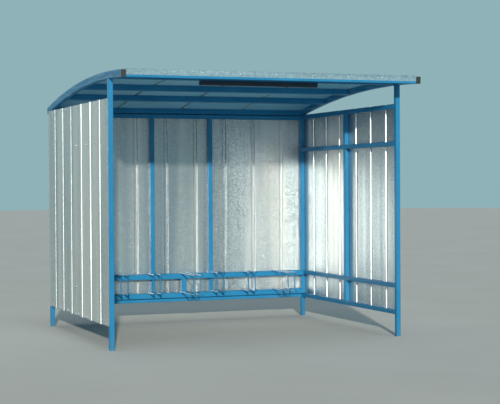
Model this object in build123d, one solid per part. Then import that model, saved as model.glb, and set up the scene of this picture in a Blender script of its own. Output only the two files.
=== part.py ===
from build123d import *
from math import asin, atan2, degrees, hypot, sqrt
import os

# An open-fronted bike shelter: a welded frame of square steel tube, ribbed galvanised wall
# sheets on three sides, a gently barrelled roof on two curved rafters, and a wheel rack along
# the back wall.  +X is to the right seen from the open front, +Y to the back, +Z up.
# The origin is on the ground, below the middle of the overall box.  Lengths are millimetres.

# Overall layout
post_spacing_x = 2590.0        # between the side frames, post centre to post centre
post_spacing_y = 2092.0        # front posts to rear posts, centre to centre
front_overhang = 400.0         # front post centre to the foremost face of the roof
rear_overhang = 100.0          # rear post centre to the rear edge of the roof sheets

# Square and rectangular hollow sections
tube_size = 40.0               # posts and wall rails, and the width of the rafters
tube_wall = 3.0
tube_corner = 3.0              # across the small outer radii, drawn as chamfers
rafter_depth = 60.0
roof_tube = 50.0               # beams and purlins, their undersides in line with the rafters'
rack_tube = 50.0               # the two bars of the wheel rack

# Roof curve, one arc from front to back
roof_radius = 10870.0          # to the underside of the rafters
roof_crown_height = 2198.0     # underside of the rafters at the crown
roof_crown_setback = 180.0     # crown behind the front posts
purlin_pitch = 572.0           # measured forward from the rear posts
purlin_count = 3

# Wall frames
bottom_rail_height = 190.0     # ground to the underside of the bottom rails
lower_rail_height = 424.0
upper_rail_height = 1665.0
back_post_offset = 300.0       # intermediate back posts, each side of the middle

# Ribbed wall sheet
sheet_thickness = 1.0
rib_pitch = 306.0
rib_depth = 12.0
rib_base = 40.0
rib_crest = 26.0
rib_from_joint = 184.0         # side walls: from the joint of the two sheets to the next rib
side_ribs_per_sheet = 3
back_rib_count = 8
sheet_bottom_height = 195.0
side_sheet_rise = 8.0          # side sheets stand this much above the top rails
sheet_joint_gap = 1.0

# Roof sheets between the rafters, flashing and end caps
roof_sheet_count = 4
roof_edge_gap = 1.0            # between a rafter and the nearest sheet
roof_rib_height = 14.0         # raised rib where two sheets lap
roof_rib_base = 26.0
roof_rib_crest = 14.0
rafter_end_setback = 25.0      # rear edge of the sheets past the rafter ends
flashing_top_leg = 60.0
flashing_front_leg = 48.0
flashing_end_gap = 2.0         # between a rafter and the end of the flashing
cap_thickness = 4.0

# Wheel rack
rack_lower_height = 230.0      # underside of the lower bar
rack_upper_height = 414.0      # underside of the upper bar
hoop_bar = 12.0
hoop_flats = 12                # the round bar is drawn with this many flats
hoop_bend = 36.0
hoop_slot = 58.0               # clear width between the two hoops of a place
place_pitch = 325.0
place_count = 7
long_place_every = 3           # the middle place and every third from it reach further
short_reach = 230.0            # front face of the rack bars to the front of a hoop
long_reach = 470.0

# Lamp housing below the header
lamp_length = 1046.0
lamp_width = 70.0
lamp_height = 36.0
lamp_edge = 8.0

fit_gap = 0.3                  # clearance where a sheet or a round bar seats

# Derived places
total_depth = front_overhang + post_spacing_y + rear_overhang
front_edge_y = -total_depth / 2
rear_edge_y = total_depth / 2
front_post_y = front_edge_y + front_overhang
rear_post_y = front_post_y + post_spacing_y
side_x = post_spacing_x / 2
half_tube = tube_size / 2
inner_half_width = side_x - half_tube
outer_half_width = side_x + half_tube
crown_y = front_post_y + roof_crown_setback
roof_axis_z = roof_crown_height - roof_radius
rafter_top_radius = roof_radius + rafter_depth
sheet_inner_radius = roof_radius + roof_tube + fit_gap
sheet_outer_radius = sheet_inner_radius + sheet_thickness
roof_bar_radius = roof_radius + roof_tube / 2
lap_rise = sheet_thickness + fit_gap
roof_axis = Axis((0, crown_y, roof_axis_z), (1, 0, 0))
mid_post_y = (front_post_y + rear_post_y) / 2


def angle_at(y, radius):
    """Angle from the crown, in degrees towards the back, of the point at y on an arc."""
    return degrees(asin((y - crown_y) / radius))


def underside_height(y):
    """Height of the rafters' underside at y."""
    return roof_axis_z + sqrt(roof_radius ** 2 - (y - crown_y) ** 2)


# The side top rails meet the rafters at the rear posts, the back top rail lies under the eaves
# purlin, and the back sheets stop below the rafters.
side_face_x = outer_half_width + fit_gap
back_face_y = rear_post_y + half_tube + fit_gap
rail_top_height = underside_height(rear_post_y - half_tube) - fit_gap
side_top_rail_height = rail_top_height - tube_size
back_top_rail_height = underside_height(rear_post_y + half_tube) - fit_gap - tube_size
side_sheet_top = rail_top_height + side_sheet_rise
back_sheet_top = underside_height(back_face_y + rib_depth + sheet_thickness) - fit_gap

# The rafter's front end carries a cap whose top edge is the foremost point of the shelter.
cap_reach = hypot(rafter_top_radius, cap_thickness)
front_end_angle = degrees(
    asin((front_edge_y - crown_y) / cap_reach) + atan2(cap_thickness, rafter_top_radius)
)
sheet_rear_angle = angle_at(rear_edge_y, sheet_outer_radius)
rear_end_angle = sheet_rear_angle - degrees(rafter_end_setback / sheet_outer_radius)


def tube_section(width, height):
    """Hollow section of a tube."""
    outer = chamfer(Rectangle(width, height).vertices(), tube_corner)
    return outer - Rectangle(width - 2 * tube_wall, height - 2 * tube_wall)


def tube_along_x(length, size):
    """Square tube centred on the origin, lying along X."""
    plane = Plane(origin=(-length / 2, 0, 0), x_dir=(0, 1, 0), z_dir=(1, 0, 0))
    return extrude(plane * tube_section(size, size), length)


def tube_along_y(length, size):
    """Square tube centred on the origin, lying along Y."""
    plane = Plane(origin=(0, -length / 2, 0), x_dir=(-1, 0, 0), z_dir=(0, 1, 0))
    return extrude(plane * tube_section(size, size), length)


def tube_upright(length, size):
    """Square tube standing on the origin."""
    return extrude(tube_section(size, size), length)


def at_roof(angle, radius):
    """Location on the roof arc, its Z pointing away from the arc's centre."""
    turned = Rot(-angle, 0, 0)
    return Pos(0, crown_y, roof_axis_z) * turned * Pos(0, 0, radius)


def arc_piece(section, start_angle, end_angle):
    """Solid of a section, drawn in X and radius, turned along the roof arc."""
    upright = Plane(origin=(0, crown_y, roof_axis_z), x_dir=(1, 0, 0), z_dir=(0, -1, 0))
    face = (upright * section).rotate(roof_axis, -start_angle)
    return revolve(face, roof_axis, -(end_angle - start_angle))


def post(x, y):
    """Corner post with its head cut to the slope of the rafter that sits on it."""
    blank = Pos(x, y, 0) * tube_upright(underside_height(y) + tube_size, tube_size)
    seat = at_roof(angle_at(y, roof_radius), roof_radius - fit_gap)
    return split(blank, bisect_by=Plane(seat), keep=Keep.BOTTOM)


def rafter(side):
    """Curved rectangular tube over one side frame."""
    section = tube_section(tube_size, rafter_depth)
    place = Pos(side * side_x, roof_radius + rafter_depth / 2)
    return arc_piece(place * section, front_end_angle, rear_end_angle)


def rafter_cap(side, angle, outward):
    """Plastic cap on one end of a rafter; outward is -1 at the front and 1 at the back."""
    plate = chamfer(Rectangle(tube_size, rafter_depth).vertices(), tube_corner)
    plane = Plane(origin=(0, 0, 0), x_dir=(1, 0, 0), z_dir=(0, -1, 0))
    solid = extrude(plane * plate, -outward * cap_thickness)
    return at_roof(angle, roof_radius + rafter_depth / 2) * Pos(side * side_x, 0, 0) * solid


def roof_bar(angle):
    """Beam or purlin between the rafters, its underside in line with theirs."""
    bar = tube_along_x(2 * inner_half_width, roof_tube)
    return at_roof(angle, roof_bar_radius) * bar


def rail_along_y(side, height):
    """Wall rail of a side frame, between the front and the rear post."""
    length = post_spacing_y - tube_size
    return Pos(side * side_x, mid_post_y, height + half_tube) * tube_along_y(length, tube_size)


def rail_along_x(height):
    """Wall rail of the back frame, between the rear posts."""
    bar = tube_along_x(2 * inner_half_width, tube_size)
    return Pos(0, rear_post_y, height + half_tube) * bar


def upright_pieces(x, y, rails):
    """Intermediate post, in lengths that stand between one rail and the next."""
    rail_heights = list(rails.values())
    pieces = []
    for low, high in zip(rail_heights[:-1], rail_heights[1:]):
        foot = low + tube_size
        pieces.append(Pos(x, y, foot) * tube_upright(high - foot, tube_size))
    return Compound(children=pieces)


def ribbed_sheet(start, end, rib_centres, top):
    """Ribbed sheet standing on Z = 0: it runs along X and its ribs point to +Y."""
    points = [(start, 0)]
    for centre in rib_centres:
        points += [
            (centre - rib_base / 2, 0),
            (centre - rib_crest / 2, rib_depth),
            (centre + rib_crest / 2, rib_depth),
            (centre + rib_base / 2, 0),
        ]
    points.append((end, 0))
    line = Polyline(*points)
    outline = offset(line, sheet_thickness, side=Side.LEFT, kind=Kind.INTERSECTION)
    return extrude(make_face(outline), top - sheet_bottom_height)


def sheet_frame(x, y, turn):
    """Place of a wall sheet: its run starts from x and y, turned about the vertical."""
    return Pos(x, y, sheet_bottom_height) * Rot(0, 0, turn)


def roof_section(index):
    """Section of one roof sheet in X and radius.

    A sheet's right edge rises into a rib, and the next sheet's left edge lies over that rib.
    """
    pitch = 2 * inner_half_width / roof_sheet_count
    left = -inner_half_width + index * pitch
    right = left + pitch
    if index == 0:
        points = [(left + roof_edge_gap, 0)]
    else:
        points = [
            (left - roof_rib_crest / 2, roof_rib_height + lap_rise),
            (left + roof_rib_crest / 2, roof_rib_height + lap_rise),
            (left + roof_rib_base / 2, 0),
        ]
    if index == roof_sheet_count - 1:
        points.append((right - roof_edge_gap, 0))
    else:
        points += [
            (right - roof_rib_base / 2, 0),
            (right - roof_rib_crest / 2, roof_rib_height),
            (right + roof_rib_crest / 2 - fit_gap, roof_rib_height),
        ]
    line = Polyline(*points)
    outline = offset(line, sheet_thickness, side=Side.LEFT, kind=Kind.INTERSECTION)
    return Pos(0, sheet_inner_radius) * make_face(outline)


def wheel_hoop(x, reach):
    """Round bar from the upper rack bar forward, down and back to the lower one."""
    bar_back_y = rear_post_y - half_tube
    root_y = bar_back_y - rack_tube / 2
    front_y = bar_back_y - rack_tube - reach + hoop_bar / 2
    top_z = rack_upper_height + rack_tube + hoop_bar / 2 + fit_gap
    low_z = rack_lower_height + rack_tube + hoop_bar / 2 + fit_gap
    path = FilletPolyline(
        (x, root_y, top_z), (x, front_y, top_z), (x, front_y, low_z), (x, root_y, low_z),
        radius=hoop_bend,
    )
    start = Plane(origin=(x, root_y, top_z), z_dir=(0, -1, 0))
    bar = RegularPolygon(hoop_bar / 2, hoop_flats, major_radius=False, rotation=180 / hoop_flats)
    return sweep(start * bar, path=path)


def wheel_hoops(numbers, reach):
    """Pairs of hoops, one pair for each numbered place; number 0 is the middle place."""
    spread = (hoop_slot + hoop_bar) / 2
    return Compound(
        children=[
            wheel_hoop(number * place_pitch + side * spread, reach)
            for number in numbers
            for side in (-1, 1)
        ]
    )


def front_flashing():
    """Galvanised angle over the front edge of the roof, seated on the ribs of the sheets."""
    low = sheet_inner_radius + roof_rib_height + lap_rise + sheet_thickness + fit_gap
    high = low + sheet_thickness
    back = -roof_tube / 2 - fit_gap
    front = back - sheet_thickness
    section = make_face(
        Polyline(
            (front, high),
            (front + flashing_top_leg, high),
            (front + flashing_top_leg, low),
            (back, low),
            (back, high - flashing_front_leg),
            (front, high - flashing_front_leg),
            close=True,
        )
    )
    length = 2 * (inner_half_width - flashing_end_gap)
    plane = Plane(origin=(-length / 2, 0, 0), x_dir=(0, 1, 0), z_dir=(1, 0, 0))
    return at_roof(front_beam_angle, 0) * extrude(plane * section, length)


front_beam_angle = front_end_angle + degrees(roof_tube / 2 / roof_bar_radius)
header_angle = angle_at(front_post_y, roof_bar_radius)

parts = {}
side_names = {-1: "left", 1: "right"}
side_rails = {
    "bottom": bottom_rail_height,
    "lower": lower_rail_height,
    "upper": upper_rail_height,
    "top": side_top_rail_height,
}
back_rails = {
    "bottom": bottom_rail_height,
    "lower": lower_rail_height,
    "top": back_top_rail_height,
}

# Posts, side frames and rafters
for side, name in side_names.items():
    parts[f"front_post_{name}"] = post(side * side_x, front_post_y)
    parts[f"rear_post_{name}"] = post(side * side_x, rear_post_y)
    for level, height in side_rails.items():
        parts[f"{name}_{level}_rail"] = rail_along_y(side, height)
    parts[f"{name}_middle_post"] = upright_pieces(side * side_x, mid_post_y, side_rails)
    parts[f"rafter_{name}"] = rafter(side)

# Back frame
for level, height in back_rails.items():
    parts[f"back_{level}_rail"] = rail_along_x(height)
for side, name in side_names.items():
    parts[f"back_post_{name}"] = upright_pieces(side * back_post_offset, rear_post_y, back_rails)

# Roof frame
parts["front_beam"] = roof_bar(front_beam_angle)
parts["front_header"] = roof_bar(header_angle)
for index in range(purlin_count):
    name = f"purlin_{index}" if index else "eaves_purlin"
    parts[name] = roof_bar(angle_at(rear_post_y - index * purlin_pitch, roof_bar_radius))
parts["rafter_end_caps"] = Compound(
    children=[
        rafter_cap(side, angle, outward)
        for side in side_names
        for angle, outward in ((front_end_angle, -1), (rear_end_angle, 1))
    ]
)

# Roof sheets and the flashing over their front edge
for index in range(roof_sheet_count):
    parts[f"roof_sheet_{index + 1}"] = arc_piece(
        roof_section(index), front_end_angle, sheet_rear_angle
    )
parts["front_flashing"] = front_flashing()

# Wall sheets, joined on the intermediate posts
side_run = rear_post_y + half_tube - front_post_y
to_middle = mid_post_y - front_post_y
front_ribs = [
    to_middle - rib_from_joint - rib_pitch * n for n in reversed(range(side_ribs_per_sheet))
]
rear_ribs = [2 * to_middle - rib for rib in reversed(front_ribs)]
half_gap = sheet_joint_gap / 2
front_panel = ribbed_sheet(0, to_middle - half_gap, front_ribs, side_sheet_top)
rear_panel = ribbed_sheet(to_middle + half_gap, side_run, rear_ribs, side_sheet_top)
parts["left_front_sheet"] = sheet_frame(-side_face_x, front_post_y, 90) * front_panel
parts["left_rear_sheet"] = sheet_frame(-side_face_x, front_post_y, 90) * rear_panel
right_place = Pos(side_face_x, front_post_y, sheet_bottom_height)
parts["right_front_sheet"] = right_place * mirror(Rot(0, 0, 90) * front_panel, about=Plane.YZ)
parts["right_rear_sheet"] = right_place * mirror(Rot(0, 0, 90) * rear_panel, about=Plane.YZ)

back_ribs = [rib_pitch * (n - (back_rib_count - 1) / 2) for n in range(back_rib_count)]
back_joints = [-outer_half_width, -back_post_offset, back_post_offset, outer_half_width]
for name, low, high in zip(("left", "middle", "right"), back_joints[:-1], back_joints[1:]):
    inside = [rib for rib in back_ribs if low < rib < high]
    panel = ribbed_sheet(low + half_gap, high - half_gap, inside, back_sheet_top)
    parts[f"back_{name}_sheet"] = sheet_frame(0, back_face_y, 0) * panel

# Wheel rack on the back frame
rack_y = rear_post_y - half_tube - rack_tube / 2
rack_bar = tube_along_x(2 * inner_half_width, rack_tube)
parts["rack_lower_bar"] = Pos(0, rack_y, rack_lower_height + rack_tube / 2) * rack_bar
parts["rack_upper_bar"] = Pos(0, rack_y, rack_upper_height + rack_tube / 2) * rack_bar
upright_foot = rack_lower_height + rack_tube
parts["rack_upright"] = Pos(0, rack_y, upright_foot) * tube_upright(
    rack_upper_height - upright_foot, rack_tube
)
places = range(-(place_count // 2), place_count // 2 + 1)
long_places = [number for number in places if number % long_place_every == 0]
short_places = [number for number in places if number % long_place_every != 0]
parts["long_wheel_hoops"] = wheel_hoops(long_places, long_reach)
parts["short_wheel_hoops"] = wheel_hoops(short_places, short_reach)

# Lamp housing, hung below the middle of the header
header_place = at_roof(header_angle, roof_radius - fit_gap)
lamp_section = make_face(
    Polyline(
        (-lamp_width / 2, 0),
        (-lamp_width / 2, -lamp_height + lamp_edge),
        (-lamp_width / 2 + lamp_edge, -lamp_height),
        (lamp_width / 2 - lamp_edge, -lamp_height),
        (lamp_width / 2, -lamp_height + lamp_edge),
        (lamp_width / 2, 0),
        close=True,
    )
)
lamp_plane = Plane(origin=(-lamp_length / 2, 0, 0), x_dir=(0, 1, 0), z_dir=(1, 0, 0))
parts["lamp_housing"] = header_place * extrude(lamp_plane * lamp_section, lamp_length)

os.makedirs("parts", exist_ok=True)
for name, shape in parts.items():
    shape.label = name
    export_step(shape, f"parts/{name}.step")
print(len(parts), "nodes")
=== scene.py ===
from math import pi, radians

import bmesh
import bpy
from mathutils import Matrix, Vector


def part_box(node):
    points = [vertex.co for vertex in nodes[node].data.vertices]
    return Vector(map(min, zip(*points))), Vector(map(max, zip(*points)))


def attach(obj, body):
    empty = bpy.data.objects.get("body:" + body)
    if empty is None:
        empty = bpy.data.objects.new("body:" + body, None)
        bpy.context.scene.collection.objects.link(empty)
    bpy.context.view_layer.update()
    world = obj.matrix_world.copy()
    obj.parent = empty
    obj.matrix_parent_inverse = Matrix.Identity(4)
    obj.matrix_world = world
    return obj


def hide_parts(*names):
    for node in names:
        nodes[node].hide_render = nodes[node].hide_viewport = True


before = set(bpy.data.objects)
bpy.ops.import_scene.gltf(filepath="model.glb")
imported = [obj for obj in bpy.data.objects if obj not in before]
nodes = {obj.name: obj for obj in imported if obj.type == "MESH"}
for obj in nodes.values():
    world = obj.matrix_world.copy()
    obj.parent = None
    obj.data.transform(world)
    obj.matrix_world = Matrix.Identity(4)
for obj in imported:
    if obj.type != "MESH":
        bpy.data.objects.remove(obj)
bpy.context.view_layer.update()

# A bike shelter of blue square tube with ribbed galvanised sheets.  Lengths are metres.

# Camera, at the photograph's place
CAMERA_PLACE = (-4.2534, -11.6099, 1.3481)
CAMERA_YAW = 0.3707            # radians, to the right of straight ahead
CAMERA_PITCH = -0.0138
CAMERA_ROLL = -0.0057
FOCAL_LENGTH = 98.6            # for a 36 mm wide sensor
CAMERA_REACH = 200.0           # how far it sees

# Light: a low key from the front and a little left with a faint softer lamp below it, a soft
# overhead lamp, a faint low one from behind on the left, and a pale surround
KEY_DIRECTION = (0.298, 1.0, -0.262)
KEY_STRENGTH = 3.4
KEY_SOFTNESS = radians(1.5)
KEY_COLOUR = "FFF8EB"
FILL_DIRECTION = (0.298, 1.0, -0.06)
FILL_STRENGTH = 0.28
FILL_SOFTNESS = radians(12)
FILL_COLOUR = "E8F4FF"
RIM_DIRECTION = (0.52, -0.85, -0.12)
RIM_STRENGTH = 0.27
RIM_SOFTNESS = radians(8)
RIM_COLOUR = "FFF3DE"
OVERHEAD_DIRECTION = (0.0, 0.15, -1.0)
OVERHEAD_STRENGTH = 0.7
OVERHEAD_SOFTNESS = radians(50)
OVERHEAD_COLOUR = "E8F5FF"
KEY_SIDE_SURROUND = "FBFAF2"
KEY_SIDE_EDGES = (0.88, 0.98)  # cosines of the angle from the key where this tone fades in
FRONT_SURROUND = "86CBDE"
REAR_SURROUND = "8FB2B8"
AMBIENT_COLOUR = "66B4EC"
AMBIENT_STRENGTH = 0.11
FLOOR_TONES = ("D3D2C9", "D9D8D0")
FLOOR_RADIUS = 60.0

# Frame, as in the CAD model
SIDE_X = 1.295                 # middle of the side frames
FRONT_POST_Y = -0.896
MIDDLE_POST_Y = 0.15
REAR_POST_Y = 1.196
BACK_POST_X = 0.3
HALF_TUBE = 0.02
INNER_X = SIDE_X - HALF_TUBE
OUTER_X = SIDE_X + HALF_TUBE
RAIL_MIDDLES = (0.21, 0.444, 1.685, 2.0118)
BACK_RAIL_MIDDLES = (0.21, 0.444, 2.0046)

# Ribbed wall sheets
SHEET_THICKNESS = 0.001
SHEET_FOOT = 0.195
SIDE_SHEET_TOP = 2.0398
BACK_SHEET_TOP = 2.0222
SIDE_INNER_FACE = 1.3153
BACK_INNER_FACE = 1.2163
HALF_JOINT = 0.0005
RIB_BASE = 0.0367              # width at the pans
RIB_CREST = 0.0293             # width at the outside
RIB_DEPTH = 0.012
RIB_PITCH = 0.306
RIB_FROM_JOINT = 0.184         # from a side's middle joint to the rib on each side of it
SIDE_RIBS = 3                  # on each side sheet
BACK_RIBS = 8                  # on the whole back wall
BEND_SETBACK = 0.0042          # from a bend's corner to where its round starts
ROOF_BEND_SETBACK = 0.0015
NARROWEST_LEG = 0.003          # a face this narrow is a sheet's cut edge
FOLD_ANGLE = radians(40)       # a sharper edge is a fold
WALL_SMOOTHING = radians(30)   # facets of a rolled bend meet at less than this
ROOF_SMOOTHING = radians(32)
BAR_SMOOTHING = radians(40)

# Roof
ROOF_CENTRE = Vector((0.0, -0.716, -8.672))
ROOF_PAN_RADIUS = 10.9213      # top of the roof sheets' pans
ROOF_BAR_PLACES = (FRONT_POST_Y, 0.052, 0.624, REAR_POST_Y)

# Screws in the middle and at the sides of the pans, rivets and bolts.  A fastener is its
# washer's radius and height, then its head's.
SHEET_SCREW = (0.008, 0.0014, 0.0046, 0.004)
RAFTER_BOLT = (0.0085, 0.0016, 0.0075, 0.0053)
SIDE_SCREWS_Y = (-0.79, -0.493, -0.187, 0.118, 0.182, 0.487, 0.793, 1.1)
BACK_SCREWS_X = (-1.2, -0.918, -0.612, -0.334, -0.266, 0.0, 0.266, 0.334, 0.612, 0.918, 1.2)
ROOF_SCREWS_X = (-1.24, -1.116, -0.797, -0.478, -0.159, 0.159, 0.478, 0.797, 1.116, 1.24)
BOLT_PLACES = ((0.016, 2.212), (0.668, 2.146))    # Y and Z beside the two middle purlins
RIVET_PITCH = 0.31875          # half a roof sheet
RIVET_Z = 2.2262
RIVET_SINK = 0.0009            # the strip's front leg leans back by this at the rivets
STRIP_LEAN = 0.05              # slope of that leg, which hangs square to the roof

# Rack
RACK_FRONT_Y = 1.126           # front face of both bars
RACK_MIDDLE_Y = 1.151
RACK_LOWER_TOP = 0.28
RACK_UPPER_TOP = 0.464
HOOP_RADIUS = 0.006
HOOP_BEND = 0.036              # at the middle of the round bar
HOOP_SEAT = 0.0003             # between a bar's top and the hoop on it
HOOP_SPREAD = 0.035            # from the middle of a place to each hoop
PLACE_PITCH = 0.325
PLACES_EACH_SIDE = 3           # of the middle place
SHORT_REACH = 0.23             # from the bars' front face to the front of a hoop
LONG_REACH = 0.47

# Weld beads: length, radius and number of ripples
RAIL_BEAD = (0.034, 0.0032, 9)
SEAT_BEAD = (0.02, 0.0026, 6)
SEAT_BEAD_SETBACK = 0.011      # in front of the rack bars' middle
SEAT_BEAD_LIFT = 0.0006
SEAT_BEAD_SPREAD = 0.75        # from a hoop's middle, as a share of its radius

# Patterns in the zinc, in repeats to the metre
SPANGLE = 85.0                 # flakes about 12 mm across
ZINC_GRAIN = 110.0
STREAKS_ALONG, STREAKS_ACROSS = 0.7, 45.0
CLOUDS_ALONG, CLOUDS_ACROSS = 0.22, 3.2
CLOUD_SHIFT = 4.0              # slides the clouds to about where they were photographed
RIPPLE_SHARE = 0.16            # of the streaks' repeats, for the ripples

MERGE_DISTANCE = 0.00001
SAME_PLACE = 0.0001
FACING_UP = 0.9                # upward part of a normal


def linear(hex_value):
    """Linear RGBA of an sRGB hex colour."""
    channels = [int(hex_value[i:i + 2], 16) / 255 for i in (0, 2, 4)]
    return [c / 12.92 if c <= 0.04045 else ((c + 0.055) / 1.055) ** 2.4 for c in channels] + [1.0]


def add(tree, kind, inputs=None, stops=None, **settings):
    """Adds a node; inputs maps a socket to a value or to the output socket that feeds it.

    Stops are the (position, hex colour) pairs of a colour ramp.
    """
    made = tree.nodes.new("ShaderNode" + kind)
    for name, value in settings.items():
        setattr(made, name, value)
    for socket, value in (inputs or {}).items():
        if isinstance(value, bpy.types.NodeSocket):
            tree.links.new(value, made.inputs[socket])
        else:
            made.inputs[socket].default_value = value
    if stops:
        marks = made.color_ramp.elements
        while len(marks) < len(stops):
            marks.new(0.5)
        for mark, (position, hex_value) in zip(marks, stops):
            mark.position = position
            mark.color = linear(hex_value)
    return made.outputs


def new_material(name):
    """An empty node material: its tree, and the object's own coordinates in metres."""
    material = bpy.data.materials.new(name)
    material.use_nodes = True
    tree = material.node_tree
    tree.nodes.clear()
    return material, tree, add(tree, "TexCoord")["Object"]


def blue_powder_coat(name, smooth, dull, shine, chalk_and_reflection):
    """Polyester powder coat on steel tube, baked to a satin skin.

    It gives an even mid blue with a fine orange peel in its gloss, faintly paler where the
    weather has dulled it, streaked whitish along a rafter, partly where it chalks and partly as
    painted reflection of the surroundings, and with splashed grime on the lowest part of the
    posts.  Smooth and dull are the ends of its roughness, shine is how strongly the skin
    reflects, and the last argument how strong its whitish streaks are.
    """
    fresh, faded, chalk_and_reflection_tone, grimy = "2179A9", "2D85B4", "9DC6CF", "5E5B4E"
    splash_height = 0.16
    material, tree, place = new_material(name)
    fading = add(tree, "TexNoise", {"Vector": place, "Scale": 4.0, "Detail": 5.0})["Fac"]
    tone = add(tree, "ValToRGB", {"Fac": fading}, stops=[(0.3, fresh), (0.72, faded)])["Color"]
    # Whitish streaks along the length: partly chalking, partly painted reflection of the
    # surroundings
    lengthwise = add(tree, "Mapping", {"Vector": place, "Scale": (30.0, 2.5, 55.0)})["Vector"]
    washes = add(tree, "TexNoise", {"Vector": lengthwise, "Scale": 1.0, "Detail": 3.0})["Fac"]
    streaks = add(
        tree, "MapRange",
        {"Value": washes, "From Min": 0.48, "From Max": 0.68, "To Min": 0.0, "To Max": chalk_and_reflection},
    )["Result"]
    tone = add(
        tree, "Mix", {"Factor": streaks, "A": tone, "B": linear(chalk_and_reflection_tone)}, data_type="RGBA"
    )["Result"]
    height = add(tree, "SeparateXYZ", {"Vector": place})["Z"]
    low = add(
        tree, "MapRange",
        {
            "Value": height, "From Min": 0.0, "From Max": splash_height,
            "To Min": 1.0, "To Max": 0.0,
        },
    )["Result"]
    splashes = add(tree, "TexNoise", {"Vector": place, "Scale": 70.0, "Detail": 6.0})["Fac"]
    spots = add(
        tree, "ValToRGB", {"Fac": splashes}, stops=[(0.48, "000000"), (0.72, "FFFFFF")]
    )["Color"]
    grime = add(tree, "Math", {0: low, 1: spots}, operation="MULTIPLY")["Value"]
    colour = add(
        tree, "Mix", {"Factor": grime, "A": tone, "B": linear(grimy)}, data_type="RGBA"
    )["Result"]
    dulling = add(tree, "TexNoise", {"Vector": place, "Scale": 11.0, "Detail": 3.0})["Fac"]
    roughness = add(
        tree, "MapRange", {"Value": dulling, "To Min": smooth, "To Max": dull}
    )["Result"]
    # The peel is about 1.5 mm across; drawn at 4 mm so that it shows
    peel = add(tree, "TexNoise", {"Vector": place, "Scale": 250.0, "Detail": 1.0})["Fac"]
    bump = add(tree, "Bump", {"Height": peel, "Strength": 0.05, "Distance": 0.0004})["Normal"]
    shader = add(
        tree, "BsdfPrincipled",
        {
            "Base Color": colour, "Roughness": roughness,
            "Specular IOR Level": shine, "Normal": bump,
        },
    )["BSDF"]
    add(tree, "OutputMaterial", {"Surface": shader})
    return material


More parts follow.
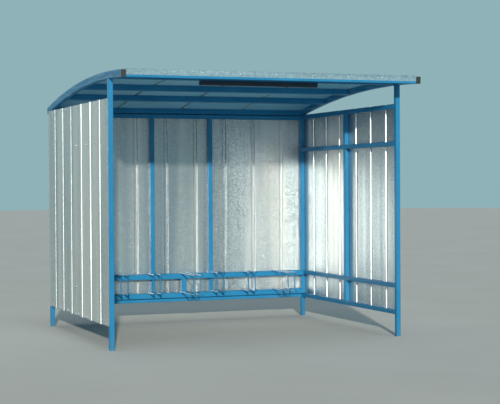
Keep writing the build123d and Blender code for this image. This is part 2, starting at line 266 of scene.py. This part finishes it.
def galvanised_steel(name, run, length, tones, metallic, sheen, slope):
    """Hot-dip galvanised steel sheet: zinc with spangle about 12 mm across.

    It gives bright flakes of slightly different grey, streaks along the rolling direction,
    clouds of a third tone that are partly weather-worn zinc and partly painted reflection, and
    mirror images drawn out along the sheet's length by the faint ripples that the zinc sets in
    across it.  Run is the streaks' repeats to the metre along X, Y and Z, length the direction
    the sheet was rolled in, tones the dark and pale zinc and the clouds' tone, metallic the
    share of bare metal that shows through its patina, sheen the ends of the roughness, and
    slope the slant of the flakes' faces.
    """
    dark, pale, weathered_and_reflection_tone = tones
    # Painted reflection: a blue laid on faces that turn downwards
    painted_underside_blue = "82D4F6"
    cloud_run = [CLOUDS_ALONG if part else CLOUDS_ACROSS for part in length]
    ripple_run = [repeats * RIPPLE_SHARE for repeats in run]
    material, tree, place = new_material(name)
    flakes = add(tree, "TexVoronoi", {"Vector": place, "Scale": SPANGLE})["Color"]
    flake = add(tree, "SeparateColor", {"Color": flakes})["Red"]
    along = add(tree, "Mapping", {"Vector": place, "Scale": run})["Vector"]
    streaks = add(tree, "TexNoise", {"Vector": along, "Scale": 1.0, "Detail": 4.0})["Fac"]
    spread = add(
        tree, "Mapping",
        {"Vector": place, "Location": (0.0, CLOUD_SHIFT, 0.0), "Scale": cloud_run},
    )["Vector"]
    clouds = add(tree, "TexNoise", {"Vector": spread, "Scale": 1.0, "Detail": 3.0})["Fac"]
    blend = add(
        tree, "Mix", {"Factor": 0.5, "A": flake, "B": streaks}, data_type="FLOAT"
    )["Result"]
    zinc = add(tree, "ValToRGB", {"Fac": blend}, stops=[(0.2, dark), (0.8, pale)])["Color"]
    # Clouds of the third tone: partly weather-worn zinc, partly painted reflection
    weathering_and_reflection = add(
        tree, "ValToRGB", {"Fac": clouds}, stops=[(0.46, "000000"), (0.64, "E0E0E0")]
    )["Color"]
    colour = add(
        tree, "Mix", {"Factor": weathering_and_reflection, "A": zinc, "B": linear(weathered_and_reflection_tone)}, data_type="RGBA"
    )["Result"]
    # Faces turned downwards are painted bluer: a painted reflection of the blue tubes and the sky
    facing_down = add(tree, "SeparateXYZ", {"Vector": add(tree, "TexCoord")["Normal"]})["Z"]
    underside_blue_share = add(
        tree, "MapRange",
        {"Value": facing_down, "From Min": -0.3, "From Max": -0.8, "To Min": 0.0, "To Max": 0.85},
    )["Result"]
    colour = add(
        tree, "Mix", {"Factor": underside_blue_share, "A": colour, "B": linear(painted_underside_blue)},
        data_type="RGBA",
    )["Result"]
    dullness = add(
        tree, "Mix", {"Factor": 0.5, "A": streaks, "B": clouds}, data_type="FLOAT"
    )["Result"]
    roughness = add(
        tree, "MapRange",
        {
            "Value": dullness, "From Min": 0.3, "From Max": 0.7,
            "To Min": sheen[0], "To Max": sheen[1],
        },
    )["Result"]
    drawn_out = add(tree, "Mapping", {"Vector": place, "Scale": ripple_run})["Vector"]
    ripples = add(tree, "TexNoise", {"Vector": drawn_out, "Scale": 1.0, "Detail": 1.0})["Fac"]
    ripple_bump = add(
        tree, "Bump", {"Height": ripples, "Strength": 0.6, "Distance": 0.006}
    )["Normal"]
    grain = add(tree, "TexNoise", {"Vector": place, "Scale": ZINC_GRAIN, "Detail": 2.0})["Fac"]
    bump = add(
        tree, "Bump",
        {"Height": grain, "Strength": 0.05, "Distance": 0.0004, "Normal": ripple_bump},
    )["Normal"]
    # Every flake is a crystal that lies at its own slant
    slant = add(
        tree, "VectorMath", {0: flakes, 1: [slope] * 3, 2: [-slope / 2] * 3},
        operation="MULTIPLY_ADD",
    )["Vector"]
    slanted = add(tree, "VectorMath", {0: bump, 1: slant}, operation="ADD")["Vector"]
    facets = add(tree, "VectorMath", {0: slanted}, operation="NORMALIZE")["Vector"]
    lengthwise = add(
        tree, "CombineXYZ", {"X": length[0], "Y": length[1], "Z": length[2]}
    )["Vector"]
    shader = add(
        tree, "BsdfPrincipled",
        {
            "Base Color": colour, "Metallic": metallic, "Roughness": roughness,
            "Anisotropic": 0.75, "Tangent": lengthwise, "Normal": facets,
        },
    )["BSDF"]
    add(tree, "OutputMaterial", {"Surface": shader})
    return material


def black_polyethylene():
    """Moulded polyethylene end caps: matt black, greyed a little by weather."""
    material, tree, place = new_material("black_polyethylene")
    bloom = add(tree, "TexNoise", {"Vector": place, "Scale": 40.0, "Detail": 4.0})["Fac"]
    tone = add(tree, "ValToRGB", {"Fac": bloom}, stops=[(0.3, "191B1B"), (0.7, "2B2E2D")])["Color"]
    # Moulded grain of about 0.5 mm, drawn at 1.5 mm
    grain = add(tree, "TexNoise", {"Vector": place, "Scale": 650.0})["Fac"]
    bump = add(tree, "Bump", {"Height": grain, "Strength": 0.2, "Distance": 0.0003})["Normal"]
    shader = add(
        tree, "BsdfPrincipled", {"Base Color": tone, "Roughness": 0.55, "Normal": bump}
    )["BSDF"]
    add(tree, "OutputMaterial", {"Surface": shader})
    return material


def dark_enamel():
    """Stove enamel on the lamp case: dark, under a painted blue cast that stands for reflected
    blue frame and bluish shade, with dust dulling its low gloss.
    """
    material, tree, place = new_material("dark_enamel_painted_blue")
    dust = add(tree, "TexNoise", {"Vector": place, "Scale": 18.0, "Detail": 5.0})["Fac"]
    # Both tones carry a painted blue cast: reflection of the blue frame and bluish shade
    tone = add(
        tree, "ValToRGB", {"Fac": dust}, stops=[(0.35, "082233"), (0.75, "10334C")]
    )["Color"]
    roughness = add(tree, "MapRange", {"Value": dust, "To Min": 0.35, "To Max": 0.6})["Result"]
    shader = add(tree, "BsdfPrincipled", {"Base Color": tone, "Roughness": roughness})["BSDF"]
    add(tree, "OutputMaterial", {"Surface": shader})
    return material


def zinc_plated_steel():
    """Bright zinc-plated fasteners: pale metal, duller in patches."""
    material, tree, place = new_material("zinc_plated_steel")
    patches = add(tree, "TexNoise", {"Vector": place, "Scale": 300.0, "Detail": 2.0})["Fac"]
    tone = add(
        tree, "ValToRGB", {"Fac": patches}, stops=[(0.3, "A9B0B3"), (0.7, "D5DADB")]
    )["Color"]
    roughness = add(tree, "MapRange", {"Value": patches, "To Min": 0.2, "To Max": 0.4})["Result"]
    shader = add(
        tree, "BsdfPrincipled", {"Base Color": tone, "Metallic": 1.0, "Roughness": roughness}
    )["BSDF"]
    add(tree, "OutputMaterial", {"Surface": shader})
    return material


def dress(names, material):
    """Gives CAD nodes their material, in every slot."""
    for name in names:
        piece = nodes[name]
        if not piece.material_slots:
            piece.data.materials.append(material)
        for slot in piece.material_slots:
            slot.material = material


def pick_faces(piece, test):
    """In edit mode, selects the faces whose middle and normal pass the test."""
    bpy.ops.mesh.select_mode(type="FACE")
    bpy.ops.mesh.select_all(action="DESELECT")
    shape = bmesh.from_edit_mesh(piece.data)
    for face in shape.faces:
        face.select_set(test(face.calc_center_median(), face.normal))
    bmesh.update_edit_mesh(piece.data)


def pick_edges(piece, test, narrowest=0.0):
    """In edit mode, selects the edges whose middle and fold angle pass the test.

    Edges of a face narrower than the narrowest width stay out, such as a sheet's cut edges.
    """
    bpy.ops.mesh.select_mode(type="EDGE")
    bpy.ops.mesh.select_all(action="DESELECT")
    shape = bmesh.from_edit_mesh(piece.data)
    for edge in shape.edges:
        ends = [vertex.co for vertex in edge.verts]
        # A long face's area is about half its perimeter times its width
        wide = all(
            2 * face.calc_area() >= narrowest * face.calc_perimeter() for face in edge.link_faces
        )
        edge.select_set(wide and test((ends[0] + ends[1]) / 2, edge.calc_face_angle(0.0)))
    bmesh.update_edit_mesh(piece.data)


def harden_normals(piece, smoothing):
    """Shades the round parts smooth and the flat parts flat."""
    bpy.ops.object.shade_smooth_by_angle(angle=smoothing)
    piece.modifiers.new("even", "WEIGHTED_NORMAL").keep_sharp = True
    bpy.ops.object.modifier_apply(modifier="even")


def hand_over(piece, name, material):
    """Names a finished piece, gives it its finish and lets it stand on the shelter."""
    piece.name = name
    piece.data.name = name
    piece.data.materials.clear()
    piece.data.materials.append(material)
    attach(piece, "root")


def place_copies(pattern, places):
    """Copies of a pattern at each place, each with its own mesh, joined into one piece.

    The pattern itself goes.
    """
    bpy.ops.object.select_all(action="DESELECT")
    for place in places:
        copy = pattern.copy()
        copy.data = pattern.data.copy()
        copy.data.transform(place)
        bpy.context.scene.collection.objects.link(copy)
        copy.select_set(True)
        bpy.context.view_layer.objects.active = copy
    bpy.ops.object.join()
    bpy.data.objects.remove(pattern)
    return bpy.context.object


def facing(point, out, along):
    """Place at a point with Z turned to the outward direction and X along the piece."""
    out = Vector(out).normalized()
    side = out.cross(Vector(along)).normalized()
    turn = Matrix((side.cross(out), side, out)).transposed()
    return Matrix.Translation(point) @ turn.to_4x4()


def hex_fastener(washer_radius, washer_height, head_radius, head_height):
    """Hexagon head on a domed washer, standing on Z = 0."""
    dome_width = (washer_radius - head_radius) * 0.7
    dome_rise = washer_height * 0.4
    chamfer_width = head_radius * 0.16
    chamfer_rise = head_height * 0.12
    seat = washer_height + dome_rise
    bpy.ops.object.select_all(action="DESELECT")
    bpy.ops.mesh.primitive_cylinder_add(
        vertices=12, radius=washer_radius, depth=washer_height,
        location=(0, 0, washer_height / 2),
    )
    piece = bpy.context.object
    bpy.ops.object.transform_apply()
    bpy.ops.object.mode_set(mode="EDIT")
    pick_faces(piece, lambda middle, normal: normal.z > FACING_UP)
    bpy.ops.mesh.inset(thickness=dome_width)
    bpy.ops.transform.translate(value=(0, 0, dome_rise))
    bpy.ops.mesh.primitive_cylinder_add(
        vertices=6, radius=head_radius, depth=head_height, location=(0, 0, seat + head_height / 2)
    )
    pick_faces(
        piece,
        lambda middle, normal: normal.z > FACING_UP and middle.z > seat + head_height - SAME_PLACE,
    )
    bpy.ops.mesh.inset(thickness=chamfer_width)
    bpy.ops.transform.translate(value=(0, 0, chamfer_rise))
    bpy.ops.object.mode_set(mode="OBJECT")
    return piece


def pop_rivet():
    """Domed rivet head with the hollow of its drawn stem, standing on Z = 0."""
    rim_radius, rim_height = 0.0055, 0.0004
    # Each ring's inset and rise, inwards to the hollow
    rings = ((0.0012, 0.0008), (0.0014, 0.0005), (0.0012, 0.0001), (0.0003, -0.0007))
    bpy.ops.object.select_all(action="DESELECT")
    bpy.ops.mesh.primitive_cylinder_add(
        vertices=16, radius=rim_radius, depth=rim_height, location=(0, 0, rim_height / 2)
    )
    piece = bpy.context.object
    bpy.ops.object.transform_apply()
    bpy.ops.object.mode_set(mode="EDIT")
    pick_faces(piece, lambda middle, normal: normal.z > FACING_UP)
    for inset, rise in rings:
        bpy.ops.mesh.inset(thickness=inset)
        bpy.ops.transform.translate(value=(0, 0, rise))
    bpy.ops.object.mode_set(mode="OBJECT")
    return piece


def weld_bead(length, radius, ripples):
    """Rippled weld bead along X, its middle at the origin; a joint hides half of it."""
    # The first ring's share of the radius, then how much each next ring swells or narrows
    start, opening, trough, crest, closing = 0.6, 1.6, 0.86, 1.16, 0.6
    waves = [trough if number % 2 else crest for number in range(1, ripples - 1)]
    bpy.ops.object.select_all(action="DESELECT")
    bpy.ops.mesh.primitive_circle_add(
        vertices=7, radius=radius * start, fill_type="NGON",
        location=(-length / 2, 0, 0), rotation=(0, pi / 2, 0),
    )
    piece = bpy.context.object
    bpy.ops.object.transform_apply()
    bpy.ops.object.mode_set(mode="EDIT")
    bpy.ops.mesh.select_all(action="SELECT")
    step = length / ripples
    x = -length / 2
    for swell in (opening, *waves, closing):
        bpy.ops.mesh.extrude_region_move(TRANSFORM_OT_translate={"value": (step, 0, 0)})
        x += step
        bpy.ops.transform.resize(value=(1, swell, swell), center_override=(x, 0, 0))
    bpy.ops.mesh.select_all(action="SELECT")
    bpy.ops.mesh.normals_make_consistent(inside=False)
    bpy.ops.object.mode_set(mode="OBJECT")
    return piece


def bent_hoop(reach):
    """Round bar bent forward from the upper rack bar, down, and back to the lower one."""
    front_y = RACK_FRONT_Y - reach + HOOP_RADIUS
    top = RACK_UPPER_TOP + HOOP_SEAT + HOOP_RADIUS
    low = RACK_LOWER_TOP + HOOP_SEAT + HOOP_RADIUS
    bend_y = front_y + HOOP_BEND
    straight = RACK_MIDDLE_Y - bend_y
    drop = top - low - 2 * HOOP_BEND
    bpy.ops.object.select_all(action="DESELECT")
    bpy.ops.mesh.primitive_circle_add(
        vertices=16, radius=HOOP_RADIUS, location=(0, RACK_MIDDLE_Y, top), rotation=(pi / 2, 0, 0)
    )
    piece = bpy.context.object
    bpy.ops.object.transform_apply()
    bpy.ops.object.mode_set(mode="EDIT")
    bpy.ops.mesh.select_mode(type="EDGE")
    bpy.ops.mesh.select_all(action="SELECT")
    bpy.ops.mesh.extrude_region_move(TRANSFORM_OT_translate={"value": (0, -straight, 0)})
    bpy.ops.mesh.spin(steps=8, angle=pi / 2, center=(0, bend_y, top - HOOP_BEND), axis=(1, 0, 0))
    bpy.ops.mesh.extrude_region_move(TRANSFORM_OT_translate={"value": (0, 0, -drop)})
    bpy.ops.mesh.spin(steps=8, angle=pi / 2, center=(0, bend_y, low + HOOP_BEND), axis=(1, 0, 0))
    bpy.ops.mesh.extrude_region_move(TRANSFORM_OT_translate={"value": (0, straight, 0)})
    bpy.ops.mesh.select_all(action="DESELECT")
    bpy.ops.mesh.select_non_manifold()
    bpy.ops.mesh.edge_face_add()
    bpy.ops.mesh.select_all(action="SELECT")
    bpy.ops.mesh.remove_doubles(threshold=MERGE_DISTANCE)
    bpy.ops.mesh.normals_make_consistent(inside=False)
    bpy.ops.object.mode_set(mode="OBJECT")
    bpy.ops.object.shade_smooth_by_angle(angle=BAR_SMOOTHING)
    return piece


def ribbed_sheet(start, end, ribs, top):
    """Wall sheet along X, its ribs towards +Y, folded up edge by edge and rolled at the bends."""
    edges = [rib + side * RIB_BASE / 2 for rib in sorted(ribs) for side in (-1, 1)] + [end]
    flank_run = (RIB_BASE - RIB_CREST) / 2
    height = top - SHEET_FOOT
    bpy.ops.object.select_all(action="DESELECT")
    bpy.ops.mesh.primitive_plane_add(
        size=1, location=((start + edges[0]) / 2, 0, SHEET_FOOT + height / 2),
        rotation=(pi / 2, 0, 0),
    )
    piece = bpy.context.object
    piece.scale = (edges[0] - start, height, 1)
    bpy.ops.object.transform_apply()
    bpy.ops.object.mode_set(mode="EDIT")
    pick_edges(piece, lambda middle, angle: abs(middle.x - edges[0]) < SAME_PLACE)
    for rib_end, next_start in zip(edges[1::2], edges[2::2]):
        folds = (
            (flank_run, RIB_DEPTH, 0), (RIB_CREST, 0, 0), (flank_run, -RIB_DEPTH, 0),
            (next_start - rib_end, 0, 0),
        )
        for fold in folds:
            bpy.ops.mesh.extrude_region_move(TRANSFORM_OT_translate={"value": fold})
    pick_edges(piece, lambda middle, angle: angle > FOLD_ANGLE)
    bpy.ops.mesh.bevel(offset=BEND_SETBACK, offset_type="OFFSET", segments=4, affect="EDGES")
    bpy.ops.object.mode_set(mode="OBJECT")
    wall = piece.modifiers.new("thickness", "SOLIDIFY")
    wall.thickness = SHEET_THICKNESS
    wall.offset = -1
    bpy.ops.object.modifier_apply(modifier="thickness")
    harden_normals(piece, WALL_SMOOTHING)
    return piece


def make_side_sheets():
    """The ribbed sheets of both side walls."""
    ribs_out = [RIB_FROM_JOINT + RIB_PITCH * number for number in range(SIDE_RIBS)]
    runs = {
        "front": (
            FRONT_POST_Y, MIDDLE_POST_Y - HALF_JOINT, [MIDDLE_POST_Y - rib for rib in ribs_out]
        ),
        "rear": (
            MIDDLE_POST_Y + HALF_JOINT, REAR_POST_Y + HALF_TUBE,
            [MIDDLE_POST_Y + rib for rib in ribs_out],
        ),
    }
    left_turn = Matrix.Translation((-SIDE_INNER_FACE, 0, 0)) @ Matrix.Rotation(pi / 2, 4, "Z")
    right_turn = Matrix.Translation((SIDE_INNER_FACE, 0, 0)) @ Matrix.Rotation(-pi / 2, 4, "Z")
    for run_name, (start, end, ribs) in runs.items():
        left = ribbed_sheet(start, end, ribs, SIDE_SHEET_TOP)
        left.data.transform(left_turn)
        right = ribbed_sheet(-end, -start, [-rib for rib in ribs], SIDE_SHEET_TOP)
        right.data.transform(right_turn)
        for side_name, piece in (("left", left), ("right", right)):
            node = f"{side_name}_{run_name}_sheet"
            hand_over(piece, node + "_rolled", side_zinc)
            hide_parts(node)


def make_back_sheets():
    """The three ribbed sheets of the back wall."""
    ribs = [RIB_PITCH * (number - (BACK_RIBS - 1) / 2) for number in range(BACK_RIBS)]
    joints = (-OUTER_X, -BACK_POST_X, BACK_POST_X, OUTER_X)
    for name, low, high in zip(("left", "middle", "right"), joints[:-1], joints[1:]):
        inside = [rib for rib in ribs if low < rib < high]
        piece = ribbed_sheet(low + HALF_JOINT, high - HALF_JOINT, inside, BACK_SHEET_TOP)
        piece.data.transform(Matrix.Translation((0, BACK_INNER_FACE, 0)))
        node = f"back_{name}_sheet"
        hand_over(piece, node + "_rolled", back_zinc)
        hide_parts(node)


def rolled_copy(node, material):
    """A sheet of the roof with its bends rolled round."""
    bpy.ops.object.select_all(action="DESELECT")
    piece = bpy.data.objects.new(node, nodes[node].data.copy())
    bpy.context.scene.collection.objects.link(piece)
    piece.select_set(True)
    bpy.context.view_layer.objects.active = piece
    bpy.ops.object.mode_set(mode="EDIT")
    bpy.ops.mesh.select_all(action="SELECT")
    bpy.ops.mesh.remove_doubles(threshold=MERGE_DISTANCE)
    # Flat faces are merged without flattening the curve, whose steps are wider than this
    bpy.ops.mesh.dissolve_limited(angle_limit=radians(0.05))
    pick_edges(piece, lambda middle, angle: angle > FOLD_ANGLE, narrowest=NARROWEST_LEG)
    bpy.ops.mesh.bevel(offset=ROOF_BEND_SETBACK, offset_type="OFFSET", segments=3, affect="EDGES")
    bpy.ops.object.mode_set(mode="OBJECT")
    harden_normals(piece, ROOF_SMOOTHING)
    hand_over(piece, node + "_rolled", material)
    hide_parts(node)


def rack_places():
    """Number and middle of each place in the rack, counted from the middle one."""
    return [
        (number, number * PLACE_PITCH)
        for number in range(-PLACES_EACH_SIDE, PLACES_EACH_SIDE + 1)
    ]


def make_hoops():
    """The rack's hoops, a pair to each place; the middle place and each third have the longer."""
    patterns = {"short_wheel_hoops": SHORT_REACH, "long_wheel_hoops": LONG_REACH}
    for node, reach in patterns.items():
        wants_long = reach == LONG_REACH
        places = [
            Matrix.Translation((x + side * HOOP_SPREAD, 0, 0))
            for number, x in rack_places()
            if (number % 3 == 0) == wants_long
            for side in (-1, 1)
        ]
        piece = place_copies(bent_hoop(reach), places)
        hand_over(piece, node + "_bent_bar", hoop_blue)
        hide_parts(node)


def make_screws():
    """Hex screws with washers that hold the sheets to the rails and the roof bars."""
    side_face_x = SIDE_INNER_FACE + SHEET_THICKNESS
    back_face_y = BACK_INNER_FACE + SHEET_THICKNESS
    rows = {}
    for side, name in ((-1, "left_wall_screws"), (1, "right_wall_screws")):
        rows[name] = [
            facing((side * side_face_x, y, z), (side, 0, 0), (0, 0, 1))
            for y in SIDE_SCREWS_Y for z in RAIL_MIDDLES
        ]
    rows["back_wall_screws"] = [
        facing((x, back_face_y, z), (0, 1, 0), (0, 0, 1))
        for x in BACK_SCREWS_X for z in BACK_RAIL_MIDDLES
    ]
    rows["roof_screws"] = []
    for y in ROOF_BAR_PLACES:
        reach = y - ROOF_CENTRE.y
        out = Vector((0, reach, (ROOF_PAN_RADIUS ** 2 - reach ** 2) ** 0.5)).normalized()
        for x in ROOF_SCREWS_X:
            point = ROOF_CENTRE + out * ROOF_PAN_RADIUS + Vector((x, 0, 0))
            rows["roof_screws"].append(facing(point, out, (1, 0, 0)))
    for name, places in rows.items():
        piece = place_copies(hex_fastener(*SHEET_SCREW), places)
        hand_over(piece, name, plated)


def make_rivets():
    """Rivets along the front leg of the flashing, half a roof sheet apart."""
    rivet_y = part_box("front_flashing")[0][1] + RIVET_SINK
    places = [
        facing((number * RIVET_PITCH, rivet_y, RIVET_Z), (0, -1, -STRIP_LEAN), (1, 0, 0))
        for number in range(-3, 4)
    ]
    piece = place_copies(pop_rivet(), places)
    hand_over(piece, "flashing_rivets", plated)


def make_bolts():
    """Bolts through the rafters, beside the ends of the two middle purlins."""
    places = [
        facing((side * INNER_X, y, z), (-side, 0, 0), (0, 0, 1))
        for side in (-1, 1) for y, z in BOLT_PLACES
    ]
    piece = place_copies(hex_fastener(*RAFTER_BOLT), places)
    hand_over(piece, "rafter_bolts", plated)


def side_frame_joints(side):
    """Places of the beads where a side frame's rails meet its posts."""
    places = []
    for z in RAIL_MIDDLES:
        for y in (FRONT_POST_Y + HALF_TUBE, REAR_POST_Y - HALF_TUBE):
            places.append(facing((side * SIDE_X, y, z + HALF_TUBE), (0, 0, 1), (1, 0, 0)))
            places.append(facing((side * SIDE_X, y, z - HALF_TUBE), (0, 0, -1), (1, 0, 0)))
            places.append(facing((side * INNER_X, y, z), (-side, 0, 0), (0, 0, 1)))
    for low, high in zip(RAIL_MIDDLES[:-1], RAIL_MIDDLES[1:]):
        for z in (low + HALF_TUBE, high - HALF_TUBE):
            places.append(facing((side * INNER_X, MIDDLE_POST_Y, z), (-side, 0, 0), (0, 1, 0)))
            for y in (MIDDLE_POST_Y - HALF_TUBE, MIDDLE_POST_Y + HALF_TUBE):
                places.append(facing((side * SIDE_X, y, z), (0, 0, 1), (1, 0, 0)))
    return places


def back_frame_joints(side):
    """Places of the beads on one half of the back frame."""
    places = []
    face_y = REAR_POST_Y - HALF_TUBE
    for low, high in zip(BACK_RAIL_MIDDLES[:-1], BACK_RAIL_MIDDLES[1:]):
        for z in (low + HALF_TUBE, high - HALF_TUBE):
            x = side * BACK_POST_X
            places.append(facing((x, face_y, z), (0, -1, 0), (1, 0, 0)))
            for edge in (x - HALF_TUBE, x + HALF_TUBE):
                places.append(facing((edge, REAR_POST_Y, z), (0, 0, 1), (0, 1, 0)))
    for z in BACK_RAIL_MIDDLES:
        x = side * INNER_X
        places.append(facing((x, REAR_POST_Y, z + HALF_TUBE), (0, 0, 1), (0, 1, 0)))
        places.append(facing((x, REAR_POST_Y, z - HALF_TUBE), (0, 0, -1), (0, 1, 0)))
        places.append(facing((x, face_y, z), (0, -1, 0), (0, 0, 1)))
    return places


def make_welds():
    """Weld beads where rails meet posts and at the hoops' seats."""
    places = []
    for side in (-1, 1):
        places += side_frame_joints(side) + back_frame_joints(side)
    hand_over(place_copies(weld_bead(*RAIL_BEAD), places), "frame_weld_beads", blue)

    seat_y = RACK_MIDDLE_Y - SEAT_BEAD_SETBACK
    places = [
        facing(
            (x + side * HOOP_SPREAD + flank * HOOP_RADIUS * SEAT_BEAD_SPREAD, seat_y, z),
            (0, 0, 1), (0, 1, 0),
        )
        for number, x in rack_places()
        for side in (-1, 1)
        for flank in (-1, 1)
        for z in (RACK_UPPER_TOP + SEAT_BEAD_LIFT, RACK_LOWER_TOP + SEAT_BEAD_LIFT)
    ]
    hand_over(place_copies(weld_bead(*SEAT_BEAD), places), "hoop_weld_beads", blue)


def make_floor():
    """Plain pale floor."""
    bpy.ops.object.select_all(action="DESELECT")
    bpy.ops.mesh.primitive_circle_add(vertices=64, radius=FLOOR_RADIUS, fill_type="NGON")
    floor = bpy.context.object
    floor.name = "floor"
    material, tree, place = new_material("pale_floor")
    mottle = add(tree, "TexNoise", {"Vector": place, "Scale": 0.8, "Detail": 4.0})["Fac"]
    tone = add(
        tree, "ValToRGB", {"Fac": mottle}, stops=[(0.3, FLOOR_TONES[0]), (0.7, FLOOR_TONES[1])]
    )["Color"]
    shader = add(tree, "BsdfPrincipled", {"Base Color": tone, "Roughness": 0.9})["BSDF"]
    add(tree, "OutputMaterial", {"Surface": shader})
    floor.data.materials.append(material)


def light_surround():
    """Pale surround for the eye and for reflections, and a dimmer ambient light.

    The surround is palest around the key lamp and deepest behind the shelter.
    """
    world = bpy.data.worlds.new("studio")
    bpy.context.scene.world = world
    world.use_nodes = True
    tree = world.node_tree
    tree.nodes.clear()
    direction = add(tree, "TexCoord")["Generated"]
    rearward = add(
        tree, "MapRange",
        {
            "Value": add(tree, "SeparateXYZ", {"Vector": direction})["Y"],
            "From Min": -0.3, "From Max": 0.3,
        },
    )["Result"]
    surround = add(
        tree, "Mix", {"Factor": rearward, "A": linear(FRONT_SURROUND), "B": linear(REAR_SURROUND)},
        data_type="RGBA",
    )["Result"]
    to_key = -Vector((KEY_DIRECTION[0], KEY_DIRECTION[1], 0.0)).normalized()
    nearness = add(tree, "VectorMath", {0: direction, 1: to_key}, operation="DOT_PRODUCT")["Value"]
    glow = add(
        tree, "MapRange",
        {"Value": nearness, "From Min": KEY_SIDE_EDGES[0], "From Max": KEY_SIDE_EDGES[1]},
    )["Result"]
    surround = add(
        tree, "Mix", {"Factor": glow, "A": surround, "B": linear(KEY_SIDE_SURROUND)},
        data_type="RGBA",
    )["Result"]
    pale = add(tree, "Background", {"Color": surround, "Strength": 1.0})["Background"]
    ambient = add(
        tree, "Background", {"Color": linear(AMBIENT_COLOUR), "Strength": AMBIENT_STRENGTH}
    )["Background"]
    path = add(tree, "LightPath")
    seen = path["Is Camera Ray"]
    for ray in ("Is Glossy Ray", "Is Transmission Ray"):
        seen = add(tree, "Math", {0: seen, 1: path[ray]}, operation="MAXIMUM")["Value"]
    mixed = add(tree, "MixShader", {0: seen, 1: ambient, 2: pale})["Shader"]
    add(tree, "OutputWorld", {"Surface": mixed})


def light_from(name, direction, strength, softness, hex_value):
    """A lamp far away, shining along a direction."""
    lamp = bpy.data.lights.new(name, "SUN")
    lamp.energy = strength
    lamp.angle = softness
    lamp.color = linear(hex_value)[:3]
    holder = bpy.data.objects.new(name, lamp)
    holder.rotation_euler = Vector(direction).to_track_quat("-Z", "Y").to_euler()
    bpy.context.scene.collection.objects.link(holder)


def place_camera():
    """The camera that took the photograph."""
    camera = bpy.data.objects.new("camera", bpy.data.cameras.new("camera"))
    camera.data.lens = FOCAL_LENGTH
    camera.data.clip_end = CAMERA_REACH
    camera.matrix_world = (
        Matrix.Translation(CAMERA_PLACE)
        @ Matrix.Rotation(-CAMERA_YAW, 4, "Z")
        @ Matrix.Rotation(pi / 2 + CAMERA_PITCH, 4, "X")
        @ Matrix.Rotation(CAMERA_ROLL, 4, "Z")
    )
    bpy.context.scene.collection.objects.link(camera)
    bpy.context.scene.camera = camera


# Materials
blue = blue_powder_coat("blue_powder_coat", smooth=0.26, dull=0.42, shine=0.2, chalk_and_reflection=0.0)
# The rafters' whitish streaks are partly chalking and partly painted reflection
rafter_blue = blue_powder_coat(
    "chalk_and_reflection_powder_coat", smooth=0.34, dull=0.5, shine=0.06, chalk_and_reflection=0.32
)
hoop_blue = blue_powder_coat(
    "rubbed_powder_coat", smooth=0.08, dull=0.16, shine=0.7, chalk_and_reflection=0.0
)
upright = (STREAKS_ACROSS, STREAKS_ACROSS, STREAKS_ALONG)
side_zinc = galvanised_steel(
    "galvanised_side_sheet", run=upright, length=(0, 0, 1),
    tones=("9FAAAE", "C4CDD0", "D5D9D7"), metallic=0.86, sheen=(0.33, 0.41), slope=0.02,
)
back_zinc = galvanised_steel(
    "galvanised_back_sheet", run=upright, length=(0, 0, 1),
    tones=("9FAAAE", "C4CDD0", "DDE0DD"), metallic=0.86, sheen=(0.33, 0.46), slope=0.15,
)
# The roof curves, so its streaks run along both Y and Z
over_the_roof = (STREAKS_ACROSS, STREAKS_ALONG, STREAKS_ALONG)
roof_zinc = galvanised_steel(
    "galvanised_roof_sheet", run=over_the_roof, length=(0, 1, 0),
    tones=("9EABB1", "C0CACE", "D5DADA"), metallic=0.3, sheen=(0.5, 0.62), slope=0.05,
)
along_the_strip = (STREAKS_ALONG, STREAKS_ACROSS, STREAKS_ACROSS)
strip_zinc = galvanised_steel(
    "galvanised_flashing", run=along_the_strip, length=(1, 0, 0),
    tones=("66838F", "86A3AF", "51656C"), metallic=0.45, sheen=(0.42, 0.55), slope=0.07,
)
black = black_polyethylene()
enamel = dark_enamel()
plated = zinc_plated_steel()

# Finishes of the CAD nodes
roof_sheets = [name for name in nodes if name.startswith("roof_sheet")]
wall_sheets = [name for name in nodes if name.endswith("_sheet")]
finishes = {
    "rafter_left": rafter_blue, "rafter_right": rafter_blue,
    "front_flashing": strip_zinc, "rafter_end_caps": black, "lamp_housing": enamel,
}
dress([name for name in nodes if name not in (*roof_sheets, *wall_sheets, *finishes)], blue)
dress(wall_sheets, side_zinc)
dress(roof_sheets, roof_zinc)
for name, material in finishes.items():
    dress([name], material)

# New pieces
make_side_sheets()
make_back_sheets()
for name in roof_sheets:
    rolled_copy(name, roof_zinc)
rolled_copy("front_flashing", strip_zinc)
make_hoops()
make_screws()
make_rivets()
make_bolts()
make_welds()

# Studio
make_floor()
light_surround()
light_from("key", KEY_DIRECTION, KEY_STRENGTH, KEY_SOFTNESS, KEY_COLOUR)
light_from("low_fill", FILL_DIRECTION, FILL_STRENGTH, FILL_SOFTNESS, FILL_COLOUR)
light_from("rear_rim", RIM_DIRECTION, RIM_STRENGTH, RIM_SOFTNESS, RIM_COLOUR)
light_from("overhead", OVERHEAD_DIRECTION, OVERHEAD_STRENGTH, OVERHEAD_SOFTNESS, OVERHEAD_COLOUR)
place_camera()
bpy.context.scene.view_settings.view_transform = "Standard"
